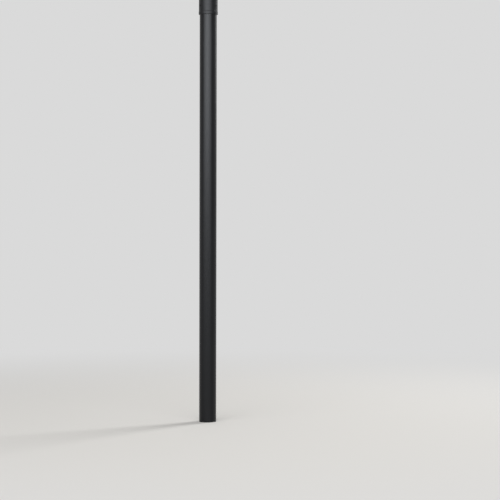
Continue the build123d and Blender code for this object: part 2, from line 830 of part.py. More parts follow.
# Bulb glass: a sphere that runs into the neck by a hollow curve tangent to both
shoulder = radians(bulb_shoulder_angle)
blend_radius = (bulb_radius * cos(shoulder) - bulb_neck_radius) / (1 - cos(shoulder))
bulb_y = bulb_neck + (blend_radius + bulb_radius) * sin(shoulder)


def bulb_line(inset):
    """The bulb's outline from its neck to its top, or the same a wall's thickness inside it."""
    ball, blend = bulb_radius - inset, blend_radius + inset
    blend_x = bulb_neck_radius + blend_radius
    Line((bulb_neck_radius - inset, 0), (bulb_neck_radius - inset, bulb_neck))
    ThreePointArc(
        (bulb_neck_radius - inset, bulb_neck),
        (blend_x - blend * cos(shoulder / 2), bulb_neck + blend * sin(shoulder / 2)),
        (ball * cos(shoulder), bulb_y - ball * sin(shoulder)),
    )
    ThreePointArc(
        (ball * cos(shoulder), bulb_y - ball * sin(shoulder)),
        (ball * cos(shoulder / 2), bulb_y + ball * sin(shoulder / 2)),
        (0, bulb_y + ball),
    )


with BuildPart() as bulb_glass:
    with BuildSketch(upright(bulb_z)):
        with BuildLine():
            bulb_line(0)
            Line((0, bulb_y + bulb_radius), (0, bulb_y + bulb_radius - bulb_wall))
            bulb_line(bulb_wall)
            Line((bulb_neck_radius - bulb_wall, 0), (bulb_neck_radius, 0))
        make_face()
    revolve(axis=Axis.Z)

# Glass stem that holds the filaments
filament_low = bulb_y - filament_below_middle
filament_high = bulb_y + filament_above_middle
stem_height = filament_low - stem_below_filaments
with BuildPart() as bulb_stem:
    with BuildSketch(upright(bulb_z)):
        with BuildLine():
            Polyline((0, 0), (stem_foot_radius, 0), (stem_foot_radius, stem_foot))
            SagittaArc((stem_foot_radius, stem_foot), (stem_radius, stem_taper), stem_taper_sag)
            Polyline((stem_radius, stem_taper), (stem_radius, stem_height), (0, stem_height), (0, 0))
        make_face()
    revolve(axis=Axis.Z)


def rod(start, end, radius):
    """A round rod between two points."""
    with BuildPart() as round_bar:
        with BuildSketch(Plane(origin=start, z_dir=end - start)):
            Circle(radius)
        extrude(amount=(end - start).length)
    return round_bar.part


# Filaments, straight rods between a hub on a wire and the feet of their lead wires
hub = Vector(0, 0, bulb_z + filament_high)
stem_top = Vector(0, 0, bulb_z + stem_height)
wires = [rod(stem_top, hub, filament_wire_radius)]
for place in range(filament_count):
    turn = radians(filament_turn + 360 * place / filament_count)
    ray = Vector(cos(turn), sin(turn), 0)
    low = ray * filament_low_radius + Vector(0, 0, bulb_z + filament_low)
    high = ray * filament_high_radius + hub
    wires.append(rod(low, high, filament_radius))
    wires.append(rod(stem_top, low + (high - low).normalized() * filament_radius, filament_wire_radius))
with BuildPart() as filaments:
    with BuildSketch(Plane(hub)):
        Circle(filament_high_radius + filament_radius)
    extrude(amount=filament_hub / 2, both=True)
    for wire in wires:
        add(wire)
    split(bisect_by=Plane(stem_top), keep=Keep.TOP)

# Write one file for each piece
pieces = {
    "post_tube": post_tube.part,
    "fitter": fitter.part,
    "pan": pan.part,
    "bottom_rail": bottom_rail.part,
    "head_rail": head_rail.part,
    "roof": roof.part,
    "vent_box": vent.part,
    "vent_cap": vent_cap.part,
    "finial": finial.part,
    "bridge": bridge.part,
    "tie_rod": tie_rod.part,
    "tie_rod_nut": tie_rod_nut.part,
    "nipple": nipple.part,
    "drip_cup": drip_cup.part,
    "candle_sleeve": candle_sleeve.part,
    "lamp_socket": lamp_socket.part,
    "bulb_cap": bulb_cap.part,
    "bulb_glass": bulb_glass.part,
    "bulb_stem": bulb_stem.part,
    "bulb_filaments": filaments.part,
}
for family, members in {
    "set_screw": set_screws,
    "pan_screw": pan_screws,
    "cage_screw": cage_screws,
    "corner_bar": corner_bars,
    "glass": panes,
    "bridge_screw": bridge_screws,
    "nipple_nut": nipple_nuts,
}.items():
    pieces.update({f"{family}_{place}": piece for place, piece in members.items()})

os.makedirs("parts", exist_ok=True)
for name, piece in pieces.items():
    piece.label = name
    export_step(piece, f"parts/{name}.step")
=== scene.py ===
"""A garden lamp post dressed for rendering: the post, its fitter and the four-sided lantern on it.

Everything is in metres, in the frame of the packed model: the origin is on the ground in the middle of
the post's foot, +Z is up, and the photograph looks along +Y.
"""

import math

import bpy
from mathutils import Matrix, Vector


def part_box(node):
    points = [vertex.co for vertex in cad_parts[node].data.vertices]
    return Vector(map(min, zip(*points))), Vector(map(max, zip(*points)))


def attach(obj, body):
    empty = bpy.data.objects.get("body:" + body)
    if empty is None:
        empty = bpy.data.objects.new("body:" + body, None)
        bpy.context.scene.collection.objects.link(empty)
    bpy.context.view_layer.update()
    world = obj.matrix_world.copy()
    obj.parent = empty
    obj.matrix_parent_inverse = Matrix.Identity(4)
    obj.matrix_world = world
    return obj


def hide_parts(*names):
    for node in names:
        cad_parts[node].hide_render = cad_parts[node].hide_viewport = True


bl_info = {
    "name": "Garden lamp post",
    "version": (1, 0, 0),
    "blender": (4, 5, 0),
    "location": "View3D > Sidebar > Lamp Post",
    "description": "Builds the looks of a round garden lamp post with a four-sided lantern",
    "category": "Add Mesh",
}

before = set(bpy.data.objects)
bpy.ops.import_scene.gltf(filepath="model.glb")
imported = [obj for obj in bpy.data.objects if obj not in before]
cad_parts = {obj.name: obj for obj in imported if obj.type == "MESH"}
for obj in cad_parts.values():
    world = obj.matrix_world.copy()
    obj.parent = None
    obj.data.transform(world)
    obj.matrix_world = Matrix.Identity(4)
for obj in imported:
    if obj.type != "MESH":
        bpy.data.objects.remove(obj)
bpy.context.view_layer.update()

BODY = "root"
MM = 0.001
# Corners nearer to each other than this are one corner
SAME_PLACE = 0.001 * MM
# An edge is rounded where it is sharper than so many degrees: in general, on a roof whose hips are blunt and
# its curves' facets blunter still, and on the screw cap, whose thread has sharper facets
SHARP, HIPS, THREAD = 25.0, 9.0, 40.0
# How far each corner of the lantern is turned from the first one, in degrees
CORNERS = {"front_left": 0, "front_right": 90, "back_right": 180, "back_left": 270}


def linear(hex_colour):
    """An sRGB hex colour as linear red, green, blue and alpha."""
    channels = [int(hex_colour[place : place + 2], 16) / 255 for place in (1, 3, 5)]
    return (*[c / 12.92 if c <= 0.04045 else ((c + 0.055) / 1.055) ** 2.4 for c in channels], 1.0)


def number(label, value, text, **kind):
    """A property that holds a number, with its unit or subtype where one fits."""
    return bpy.props.FloatProperty(name=label, description=text, default=value, **kind)


def length(label, size_mm, text):
    """A property that holds a length, given in millimetres."""
    return number(label, size_mm * MM, text, unit="LENGTH", precision=4)


def colour(label, hex_colour, text):
    """A property that holds a colour, given as an sRGB hex value."""
    return bpy.props.FloatVectorProperty(
        name=label, description=text, default=linear(hex_colour), size=4, subtype="COLOR", min=0, max=1
    )


# What a user can change


class PostSizes(bpy.types.PropertyGroup):
    """Sizes of the post and of the fitter on it."""

    wall: length("Post wall", 1.9, "Thickness of the steel tube's wall")
    cut_edge: length("Cut edge", 0.3, "Rounding of the tube's cut ends")
    grip: length("Grip", 76, "How far the fitter comes down over the post")
    grip_gap: length("Grip gap", 0.6, "Clearance between post and fitter")
    collar_wall: length("Collar wall", 3.1, "Thickness of the fitter's collar")
    rim_height: length("Rim height", 13, "Height of the raised band round the collar's lower end")
    rim_step: length("Rim step", 0.8, "How far that band stands out")
    rim_edge: length("Rim edge", 1.5, "Rounding of that band's lower edge")
    web: length("Web", 6, "Thickness of the floor that rests on the post's top")
    wire_hole: length("Wire hole", 10, "Radius of the hole in that floor")
    bead: length("Bead", 4, "Radius of the bead at the collar's upper end")
    bead_above_grip: length("Bead above grip", 8, "How far the bead's middle is above the post's top")
    neck: length("Neck", 38, "Radius of the neck above the bead")
    neck_rise: length("Neck rise", 2, "Height of the straight neck")
    neck_wall: length("Neck wall", 4, "Thickness of the neck and the flare")
    flare: length("Flare", 24, "Radius of the hollow curve out to the flange")
    flange_width: length("Flange width", 14, "Width of the flange's flat top")
    fitter_arris: length("Fitter arris", 0.5, "Rounding of the fitter's edges")


class LanternSizes(bpy.types.PropertyGroup):
    """Sizes of the lantern's castings."""

    pan_margin: length("Pan margin", 4, "How far the pan's foot stands out beyond the flange")
    pan_lip: length("Pan lip", 3, "Height of the pan's lowest fillet")
    pan_cove: length("Pan cove", 9, "Height of the hollow moulding round the pan")
    pan_cove_sag: length("Pan cove depth", 2.4, "How far that moulding is hollowed")
    pan_floor: length("Pan floor", 6, "Thickness of the pan's floor")
    pan_rim: length("Pan rim", 12, "Width of the pan's rim")
    recess: length("Screw recess", 4.2, "Radius of the recesses for the screws under the corners")
    recess_depth: length("Recess depth", 16, "Depth of those recesses")
    recess_inset: length("Recess inset", 3, "Distance of those screws from the bottom rail's sides")
    weep_hole: length("Weep hole", 2.5, "Radius of the weep holes in the pan's floor")
    weep_hole_inset: length("Weep hole inset", 14, "Distance of the weep holes from the pan's rim")
    rail_width: length("Rail width", 19, "Width of the bottom rail")
    rail_edge: length("Rail edge", 2, "Chamfer round the top of the bottom rail")
    bar_leg: length("Bar leg", 15, "Width of each side of a corner bar")
    bar_wall: length("Bar wall", 4, "Thickness of a corner bar")
    pane: length("Pane", 3, "Thickness of the glass")
    groove_gap: length("Groove gap", 0.9, "Room beside the glass in its grooves")
    foot_groove: length("Foot groove", 3, "Depth of the groove under the glass")
    head_groove: length("Head groove", 5, "Depth of the groove over the glass")
    head_rail_foot: length("Head rail foot", 5, "How far the head rail's foot is set in")
    head_rail_width: length("Head rail width", 24, "Width of the head rail")
    head_rail_lip: length("Head rail lip", 3, "Height of the head rail's lowest fillet")
    head_rail_cove: length("Head rail cove", 6, "Height of its hollow moulding")
    head_rail_sag: length("Head rail cove depth", 1.2, "How far that moulding is hollowed")
    arris: length("Arris", 0.8, "Rounding of the pan's and the bars' edges")
    fine_arris: length("Fine arris", 0.4, "Rounding of the rails', the roof's and the cap's edges")


class RoofSizes(bpy.types.PropertyGroup):
    """Sizes of the roof, the vent, its cap and the finial."""

    wall: length("Wall", 2.5, "Thickness of the roof and the cap")
    edge: length("Eave edge", 6, "Height of the eave's upright edge")
    sag: length("Roof sag", 9, "How far the roof's curve is hollowed")
    crown: length("Crown", 8, "Height of the roof's upright crown")
    crown_margin: length("Crown margin", 8, "How far the crown stands out beyond the vent")
    rail_gap: length("Rail gap", 1, "Room between the eave and the head rail")
    seat: length("Seat", 9, "Width of the roof's seat on the head rail")
    vent_seat: length("Vent seat", 6, "Width of the vent's seat on the roof")
    vent_wall: length("Vent wall", 2.5, "Thickness of the vent's sides")
    slot_width: length("Slot width", 5, "Width of a vent slot")
    slot_height: length("Slot height", 12, "Height of a vent slot")
    slot_pitch: length("Slot pitch", 14, "Distance from one vent slot to the next")
    slots: bpy.props.IntProperty(name="Slots", description="Vent slots in each side", default=3, min=1)
    cap_seat_gap: length("Cap seat gap", 0.5, "How far the cap's seat reaches in past the vent's sides")
    sheet_arris: length("Sheet arris", 0.3, "Rounding of the vent's and the finial's edges")
    cap_edge: length("Cap edge", 4, "Height of the cap's upright edge")
    cap_sag: length("Cap sag", 4, "How far the cap's curve is hollowed")
    cap_crown: length("Cap crown", 4, "Height of the cap's upright crown")
    cap_crown_half: length("Cap crown half", 12, "Half width of the cap's crown")
    rod_hole: length("Rod hole", 3.2, "Radius of the hole for the tie rod")
    finial_disc: length("Finial disc", 10.5, "Radius of the finial's disc foot")
    finial_foot: length("Finial foot", 3, "Height of the finial's disc foot")
    finial_neck: length("Finial neck", 4.8, "Radius of the finial's neck")
    finial_neck_rise: length("Finial neck rise", 6, "Height of that neck")
    finial_neck_sag: length("Finial neck depth", 1.5, "How far the neck is hollowed")
    finial_ball: length("Finial ball", 11.5, "Radius of the finial's ball")
    finial_tip: length("Finial tip", 2.2, "Radius of the tip's foot")
    finial_point: length("Finial point", 0.55, "Radius of the tip's point")


class LampSizes(bpy.types.PropertyGroup):
    """Sizes of the lamp inside the lantern."""

    nipple_hole: length("Nipple hole", 5.2, "Radius of the hole round the threaded nipple")
    cup_wall: length("Cup wall", 1.5, "Thickness of the drip cup")
    cup_flare: length("Cup flare", 7, "How far the cup's side flares out")
    cup_edge: length("Cup edge", 0.4, "Rounding of the cup's edges")
    sleeve_wall: length("Sleeve wall", 1.2, "Thickness of the candle sleeve")
    sleeve_edge: length("Sleeve edge", 0.45, "Rounding of the sleeve's ends")
    socket_well: length("Socket well", 25, "Depth of the lamp holder's well")
    socket_edge: length("Socket edge", 0.6, "Rounding of the lamp holder's edges")
    cap_gap: length("Bulb cap gap", 0.6, "Room round the bulb's screw cap")
    contact: length("Contact", 4.5, "Radius of the bulb's contact")
    contact_rise: length("Contact height", 2.5, "Height of that contact")
    thread_start: length("Thread start", 6.5, "Height at which the screw cap's thread starts")
    thread_pitch: length("Thread pitch", 3.6, "Pitch of the bulb's screw cap")
    thread_depth: length("Thread depth", 0.7, "Depth of that thread")
    thread_edge: length("Thread edge", 0.2, "Rounding of the screw cap's edges")
    bulb_neck: length("Bulb neck", 12.6, "Radius of the bulb's neck")
    bulb_neck_rise: length("Bulb neck rise", 6, "Height of the straight neck")
    bulb: length("Bulb", 30, "Radius of the bulb's ball")
    bulb_wall: length("Bulb wall", 0.9, "Thickness of the bulb's glass")
    shoulder: number("Shoulder", math.radians(45), "Where the ball runs into the neck", subtype="ANGLE")
    stem: length("Stem", 3.4, "Radius of the glass stem in the bulb")
    stem_foot: length("Stem foot", 3, "Height of the stem's straight foot")
    stem_taper: length("Stem taper", 12, "Height at which the stem has become thin")
    stem_sag: length("Stem sag", 1.5, "How far the stem's taper is hollowed")
    stem_edge: length("Stem edge", 0.4, "Rounding of the stem's ends")
    filament: length("Filament", 1, "Radius of a filament")
    filament_ring: length("Filament ring", 0.9, "Thickness of the ring that gathers them, as a radius")
    filament_drop: length("Filament drop", 12, "How far the filaments' feet are below the ball's middle")
    filament_spread: length("Filament spread", 12, "Distance of the filaments' feet from the axis")
    filament_gather: length("Filament gather", 4.5, "Distance of their heads from the axis")
    filaments: bpy.props.IntProperty(name="Filaments", description="Filaments in the bulb", default=4, min=1)
    lead: length("Lead wire", 0.5, "Radius of the wires that carry the filaments")


class Finishes(bpy.types.PropertyGroup):
    """Colours of the finishes."""

    coat: colour("Powder coat", "#080809", "Satin black powder coat")
    zinc: colour("Zinc", "#B4B9BD", "Bright zinc plate")
    oxide: colour("Black oxide", "#1B1B1D", "Black oxide on steel screws")
    glass: colour("Glass", "#FAFDFB", "Clear float glass")
    bulb: colour("Bulb glass", "#FBFAF5", "Clear blown glass")
    sleeve: colour("Candle sleeve", "#F0E6CB", "Ivory candle sleeve")
    holder: colour("Lamp holder", "#141414", "Black moulded lamp holder")
    nickel: colour("Nickel", "#C9C3B6", "Nickel-plated screw cap")
    filament: colour("Filament", "#F0CB5E", "Yellow phosphor on the filaments")
    floor: colour("Floor", "#E4E2DE", "Pale studio floor")
    backdrop: colour("Backdrop", "#DADADA", "Pale studio backdrop")


class StageSettings(bpy.types.PropertyGroup):
    """Camera and light."""

    lens: number("Lens", 121.97, "Focal length on a 36 mm wide sensor", min=1, subtype="DISTANCE_CAMERA")
    distance: length("Camera distance", 7550, "Distance of the camera from the post")
    height: length("Camera height", 958, "Height of the camera above the ground")
    post_column: number("Post column", 207.9, "Picture column of the post's axis, in pixels")
    horizon_row: number("Horizon row", 207.1, "Picture row of the horizon, in pixels")
    roll: number(
        "Roll", math.radians(0.13), "Turn of the camera about its own line of sight", subtype="ANGLE"
    )
    front_light: number("Front light", 385, "Power of the wide light in front", unit="POWER")
    key_light: number("Key light", 170, "Power of the high light", unit="POWER")
    rim_light: number("Rim light", 12, "Power of the rim light", unit="POWER")
    ambient: number("Ambient", 0.3, "Strength of the light from all round")


# Modelling


def half_of(node):
    """Half the width of a CAD node that stands about the post's axis."""
    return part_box(node)[1].x


def top_of(node):
    """How high a CAD node reaches."""
    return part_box(node)[1].z


def measure(node):
    """Half the width, the height and the foot's place of a CAD node that stands about the post's axis."""
    low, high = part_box(node)
    return high.x, high.z - low.z, low.z


def in_steps(start, end, steps):
    """Values from start to end in equal steps, ends included."""
    return [start + (end - start) * step / steps for step in range(steps + 1)]


def arc(centre, radius, start, end, steps):
    """Points of an arc in an outline, as (half width, height), between two angles in degrees."""
    turns = [math.radians(turn) for turn in in_steps(start, end, steps)]
    return [(centre[0] + radius * math.cos(turn), centre[1] + radius * math.sin(turn)) for turn in turns]


def centre_of_arc(start, end, sag):
    """Centre and radius of the arc from start to end whose middle lies sag to the left of the chord."""
    (x0, z0), (x1, z1) = start, end
    chord = math.hypot(x1 - x0, z1 - z0)
    radius = (chord**2 / 4 + sag**2) / (2 * sag)
    away = (radius - sag) / chord
    return ((x0 + x1) / 2 + (z1 - z0) * away, (z0 + z1) / 2 - (x1 - x0) * away), radius


def sagitta(start, end, sag, steps):
    """Points of an arc from start to end whose middle lies sag to the left of the chord."""
    centre, radius = centre_of_arc(start, end, sag)
    first, last = [math.atan2(z - centre[1], x - centre[0]) for x, z in (start, end)]
    turn = (last - first + math.pi) % (2 * math.pi) - math.pi
    return arc(centre, abs(radius), math.degrees(first), math.degrees(first + turn), steps)


def tube(inner, outer, height):
    """The outline of a straight tube."""
    return [(inner, 0), (outer, 0), (outer, height), (inner, height)]


def add(primitive, name, **settings):
    """Adds a primitive at its size and place, with nothing else selected."""
    bpy.ops.object.select_all(action="DESELECT")
    primitive(**settings)
    made = bpy.context.object
    made.name = made.data.name = name
    return made


def draw_up(name, outline, foot, sides=128, filled=False):
    """Models a piece about the post's axis: a ring of so many sides, extruded and scaled from point to point
    of an outline of (half width, height above the foot). With four sides it is a square piece, and a half
    width of 0 is a pole. The outline runs back to its start and leaves the middle hollow, or else the piece's
    ends are filled."""
    square = sides == 4
    points = [(half, foot + height) for half, height in outline]
    half, z = points[0]
    piece = add(
        bpy.ops.mesh.primitive_circle_add, name, vertices=sides,
        radius=half * math.sqrt(2) if square else half, location=(0, 0, z),
        rotation=(0, 0, math.radians(45) if square else 0),
    )
    bpy.ops.object.mode_set(mode="EDIT")
    bpy.ops.mesh.select_mode(type="VERT")
    bpy.ops.mesh.select_all(action="SELECT")
    for next_half, next_z in points[1:] if filled else points[1:] + points[:1]:
        bpy.ops.mesh.extrude_region_move(TRANSFORM_OT_translate={"value": (0, 0, next_z - z)})
        if next_half == 0:
            bpy.ops.mesh.merge(type="CENTER")
            break
        scale = next_half / half
        bpy.ops.transform.resize(value=(scale, scale, 1), center_override=(0, 0, next_z))
        half, z = next_half, next_z
    bpy.ops.mesh.select_all(action="SELECT")
    bpy.ops.mesh.remove_doubles(threshold=SAME_PLACE)
    bpy.ops.mesh.fill_holes(sides=0)
    turn_outwards()
    bpy.ops.object.transform_apply(location=True, rotation=True, scale=True)
    return piece


def turn_outwards():
    """Turns all faces of the piece in edit mode outwards, and leaves edit mode."""
    bpy.ops.mesh.select_all(action="SELECT")
    bpy.ops.mesh.normals_make_consistent(inside=False)
    bpy.ops.object.mode_set(mode="OBJECT")


def select_only(*pieces):
    """Selects just these pieces and makes the first of them the active object."""
    bpy.ops.object.select_all(action="DESELECT")
    for piece in pieces:
        piece.select_set(True)
    bpy.context.view_layer.objects.active = pieces[0]


def pick(piece, wanted):
    """Goes into edit mode with just the corners of the active piece selected whose place passes a test."""
    bpy.ops.object.mode_set(mode="EDIT")
    bpy.ops.mesh.select_mode(type="VERT")
    bpy.ops.mesh.select_all(action="DESELECT")
    bpy.ops.object.mode_set(mode="OBJECT")
    for corner in piece.data.vertices:
        corner.select = wanted(corner.co)
    bpy.ops.object.mode_set(mode="EDIT")


def turn_about_axis(degrees):
    """Turns what is selected in edit mode about the post's axis."""
    bpy.ops.transform.rotate(value=-math.radians(degrees), orient_axis="Z", center_override=(0, 0, 0))


def modify(piece, kind, **settings):
    """Adds a modifier, sets it and applies it."""
    select_only(piece)
    modifier = piece.modifiers.new(kind.lower(), kind)
    for name, value in settings.items():
        setattr(modifier, name, value)
    bpy.ops.object.modifier_apply(modifier=modifier.name)


def cut_out(piece, cutter):
    """Cuts a shape out of a piece and deletes the cutter."""
    modify(piece, "BOOLEAN", operation="DIFFERENCE", solver="EXACT", object=cutter)
    bpy.data.objects.remove(cutter)


def bore(piece, radius, depth, reach, z):
    """Bores a round hole up into a piece from a height, at each place that is so far out along both axes."""
    for x, y in [(x * reach, y * reach) for x in (-1, 1) for y in (-1, 1)]:
        drill = add(
            bpy.ops.mesh.primitive_cylinder_add, "drill", vertices=48, radius=radius, depth=2 * depth,
            location=(x, y, z),
        )
        cut_out(piece, drill)


def copy_turned(piece, name, degrees):
    """A copy of a piece with its own mesh, turned about the post's axis."""
    select_only(piece)
    bpy.ops.object.duplicate()
    twin = bpy.context.object
    twin.name = twin.data.name = name
    bpy.ops.object.mode_set(mode="EDIT")
    bpy.ops.mesh.select_all(action="SELECT")
    turn_about_axis(degrees)
    bpy.ops.object.mode_set(mode="OBJECT")
    return twin


def round_arrises(piece, width, sharper_than=SHARP):
    """Rounds each edge that is sharper than so many degrees, and shades the rest as one surface."""
    modify(
        piece, "BEVEL", width=width, segments=3, limit_method="ANGLE", miter_outer="MITER_ARC",
        angle_limit=math.radians(sharper_than), use_clamp_overlap=True,
    )
    bpy.ops.object.shade_smooth()
    modify(piece, "WEIGHTED_NORMAL", keep_sharp=True)


def put_in_place(piece, node, finish="casting"):
    """Gives a piece its finish and lets it stand for its CAD node."""
    piece.data.materials.clear()
    piece.data.materials.append(FINISHES[finish])
    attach(piece, BODY)
    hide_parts(node)


def complete(piece, node, arris, finish="casting", sharper_than=SHARP):
    """Rounds a piece's edges and puts it in its CAD node's place."""
    round_arrises(piece, arris, sharper_than)
    put_in_place(piece, node, finish)


def refinish(finish, *starts):
    """Gives another finish to the CAD nodes that stay in view and whose names start in one of these ways."""
    for name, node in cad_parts.items():
        if name.startswith(starts):
            node.data.materials.clear()
            node.data.materials.append(FINISHES[finish])


# Finishes


def add_node(tree, kind, inputs=None, links=None, **settings):
    """Adds a shader node with its settings, its input values and the nodes that feed it, each by its first
    output or by the one that is named with it."""
    made = tree.nodes.new("ShaderNode" + kind)
    for name, value in settings.items():
        setattr(made, name, value)
    for name, value in (inputs or {}).items():
        made.inputs[name].default_value = value
    for name, source in (links or {}).items():
        source, output = source if isinstance(source, tuple) else (source, 0)
        tree.links.new(source.outputs[output], made.inputs[name])
    return made


def new_finish(name):
    """An empty node material, its tree and the link that lays a pattern out on the object."""
    finish = bpy.data.materials.new(name)
    finish.use_nodes = True
    tree = finish.node_tree
    tree.nodes.clear()
    return finish, tree, {"Vector": (add_node(tree, "TexCoord"), "Object")}


def grain(size_mm):
    """The scale of a noise whose grains are so many millimetres wide."""
    return 1 / (size_mm * MM)


def powder_coat(name, coat, dullness, lustre, peel_mm=5.0, grain_mm=0.9, patch_mm=140.0):
    """Polyester powder coat, baked on: a deep black with a bloom as dull as the powder is coarse, a fine dry
    grain that breaks up highlights, and the low swell that the powder leaves as it flows out. The real grain
    is about 0.3 mm, too fine to show, so it is drawn coarser. A matting agent takes up part of what plain
    resin mirrors, so the lustre is under a half. What it mirrors is tinted a little cool: painted sky light."""
    finish, tree, on_object = new_finish(name)
    patch = add_node(tree, "TexNoise", {"Scale": grain(patch_mm), "Detail": 2.0, "Roughness": 0.6}, on_object)
    fine = add_node(tree, "TexNoise", {"Scale": grain(grain_mm), "Detail": 2.0}, on_object)
    swell = add_node(tree, "TexNoise", {"Scale": grain(peel_mm), "Detail": 1.0}, on_object)
    tint = add_node(tree, "ValToRGB", links={"Fac": patch})
    for stop, position, share in zip(tint.color_ramp.elements, (0.35, 0.7), (0.8, 1.25)):
        stop.position, stop.color = position, (*[share * channel for channel in coat[:3]], 1)
    spread = {"To Min": dullness - 0.04, "To Max": dullness + 0.04}
    bloom = add_node(tree, "MapRange", spread, {"Value": fine})
    low = add_node(tree, "Bump", {"Strength": 0.2, "Distance": 0.03 * MM}, {"Height": swell})
    dry = add_node(tree, "Bump", {"Strength": 0.2, "Distance": 0.01 * MM}, {"Height": fine, "Normal": low})
    # The cool specular tint is painted light: the cool of a sky that the coat mirrors
    inputs = {"IOR": 1.5, "Specular IOR Level": lustre, "Specular Tint": linear("#F5F9FF")}
    shader = add_node(tree, "BsdfPrincipled", inputs, {"Base Color": tint, "Roughness": bloom, "Normal": dry})
    add_node(tree, "OutputMaterial", links={"Surface": shader})
    return finish


def plated_metal(name, base, roughness, spangle_mm):
    """Plated or oxidised steel: a metal that reflects in its own colour, mottled where the bath left it
    uneven."""
    finish, tree, on_object = new_finish(name)
    bath = add_node(tree, "TexNoise", {"Scale": grain(spangle_mm), "Detail": 3.0}, on_object)
    spread = {"To Min": roughness - 0.07, "To Max": roughness + 0.1}
    mottle = add_node(tree, "MapRange", spread, {"Value": bath})
    shade = add_node(tree, "ValToRGB", links={"Fac": bath})
    for stop, position, share in zip(shade.color_ramp.elements, (0.3, 0.75), (0.82, 1)):
        stop.position, stop.color = position, (*[share * channel for channel in base[:3]], 1)
    shader = add_node(tree, "BsdfPrincipled", {"Metallic": 1.0}, {"Base Color": shade, "Roughness": mottle})
    add_node(tree, "OutputMaterial", links={"Surface": shader})
    return finish


def clear_glass(name, base, ior, film_mm):
    """Float or blown glass: clear, with a faint film of dust that only its gloss shows."""
    finish, tree, on_object = new_finish(name)
    film = add_node(tree, "TexNoise", {"Scale": grain(film_mm), "Detail": 4.0}, on_object)
    haze = add_node(tree, "MapRange", {"To Min": 0.0, "To Max": 0.03}, {"Value": film})
    inputs = {"Base Color": base, "IOR": ior, "Transmission Weight": 1.0}
    shader = add_node(tree, "BsdfPrincipled", inputs, {"Roughness": haze})
    add_node(tree, "OutputMaterial", links={"Surface": shader})
    return finish


def moulded(name, base, roughness, grain_mm, relief_mm, subsurface=0.0):
    """Moulded plastic, and the phosphor in silicone that coats a filament: even colour, with the faint grain
    that the mould gives, softer where light sinks in."""
    finish, tree, on_object = new_finish(name)
    skin = add_node(tree, "TexNoise", {"Scale": grain(grain_mm), "Detail": 2.0}, on_object)
    spread = {"To Min": roughness - 0.05, "To Max": roughness + 0.08}
    gloss = add_node(tree, "MapRange", spread, {"Value": skin})
    relief = add_node(tree, "Bump", {"Strength": 0.3, "Distance": relief_mm * MM}, {"Height": skin})
    inputs = {"Base Color": base, "IOR": 1.49, "Subsurface Weight": subsurface, "Subsurface Scale": 2 * MM}
    shader = add_node(tree, "BsdfPrincipled", inputs, {"Roughness": gloss, "Normal": relief})
    add_node(tree, "OutputMaterial", links={"Surface": shader})
    return finish


FINISHES = {}


def make_finishes(colours):
    """Makes each finish once, by the name that the pieces ask for."""
    coat = colours.coat
    FINISHES.update(
        post=powder_coat("powder coat, satin black, on steel tube", coat, dullness=0.33, lustre=0.27),
        fitter=powder_coat(
            "powder coat, satin black, on cast aluminium", coat, dullness=0.4, lustre=0.3, peel_mm=4.0
        ),
        casting=powder_coat(
            "powder coat, fine-textured black, on cast aluminium", coat, dullness=0.68, lustre=0.35
        ),
        zinc=plated_metal("bright zinc plate", colours.zinc, roughness=0.32, spangle_mm=3.0),
        oxide=plated_metal("black oxide", colours.oxide, roughness=0.45, spangle_mm=1.5),
        nickel=plated_metal("nickel plate", colours.nickel, roughness=0.25, spangle_mm=2.0),
        pane=clear_glass("float glass, clear", colours.glass, ior=1.52, film_mm=25.0),
        bulb=clear_glass("blown glass, clear", colours.bulb, ior=1.5, film_mm=12.0),
        sleeve=moulded(
            "polypropylene, ivory", colours.sleeve, roughness=0.42, grain_mm=2.5, relief_mm=0.05,
            subsurface=0.15,
        ),
        holder=moulded("phenolic, black", colours.holder, roughness=0.4, grain_mm=0.8, relief_mm=0.02),
        filament=moulded(
            "phosphor, yellow", colours.filament, roughness=0.7, grain_mm=0.6, relief_mm=0.03, subsurface=0.1
        ),
    )


class PieceOperator:
    """What the operators for pieces share."""

    bl_options = {"REGISTER", "UNDO"}

    def execute(self, context):
        if not FINISHES:
            make_finishes(context.scene.lamp_finishes)
        self.build(context.scene)
        return {"FINISHED"}


# Post and fitter


class LAMPPOST_OT_post(PieceOperator, bpy.types.Operator):
    """Model the round steel post"""

    bl_idname = "lamppost.post"
    bl_label = "Post"

    def build(self, scene):
        sizes = scene.lamp_post
        outer, height, foot = measure("post_tube")
        post = draw_up("post", tube(outer - sizes.wall, outer, height), foot)
        complete(post, "post_tube", sizes.cut_edge, "post")


class LAMPPOST_OT_fitter(PieceOperator, bpy.types.Operator):
    """Model the fitter: collar with a raised rim, bead, neck, flare and flange"""

    bl_idname = "lamppost.fitter"
    bl_label = "Fitter"

    def build(self, scene):
        sizes = scene.lamp_post
        _, top, foot = measure("fitter")
        inner = half_of("post_tube") + sizes.grip_gap
        collar = inner + sizes.collar_wall
        rim = collar + sizes.rim_step
        edge = sizes.rim_edge
        bead_z = sizes.grip + sizes.bead_above_grip
        flare_at = (sizes.neck + sizes.flare, bead_z + sizes.bead + sizes.neck_rise)
        flange = flare_at[0]
        inner_flare = sizes.flare + sizes.neck_wall
        inner_top = math.degrees(math.acos(-sizes.flange_width / inner_flare))
        web_top = sizes.grip + sizes.web
        outline = [
            (inner, 0), *arc((rim - edge, edge), edge, -90, 0, steps=6),
            (rim, sizes.rim_height), (collar, sizes.rim_height + sizes.rim_step),
            (collar, bead_z - sizes.bead), *arc((collar, bead_z), sizes.bead, -90, 90, steps=16)[1:],
            (sizes.neck, bead_z + sizes.bead), *arc(flare_at, sizes.flare, 180, 90, steps=24),
            (flange, top), (flange - sizes.flange_width, top),
            *arc(flare_at, inner_flare, inner_top, 180, steps=16),
            (sizes.neck - sizes.neck_wall, web_top), (sizes.wire_hole, web_top),
            (sizes.wire_hole, sizes.grip), (inner, sizes.grip),
        ]
        fitter = draw_up("fitter_casting", outline, foot)
        complete(fitter, "fitter", sizes.fitter_arris, finish="fitter")


# Lantern


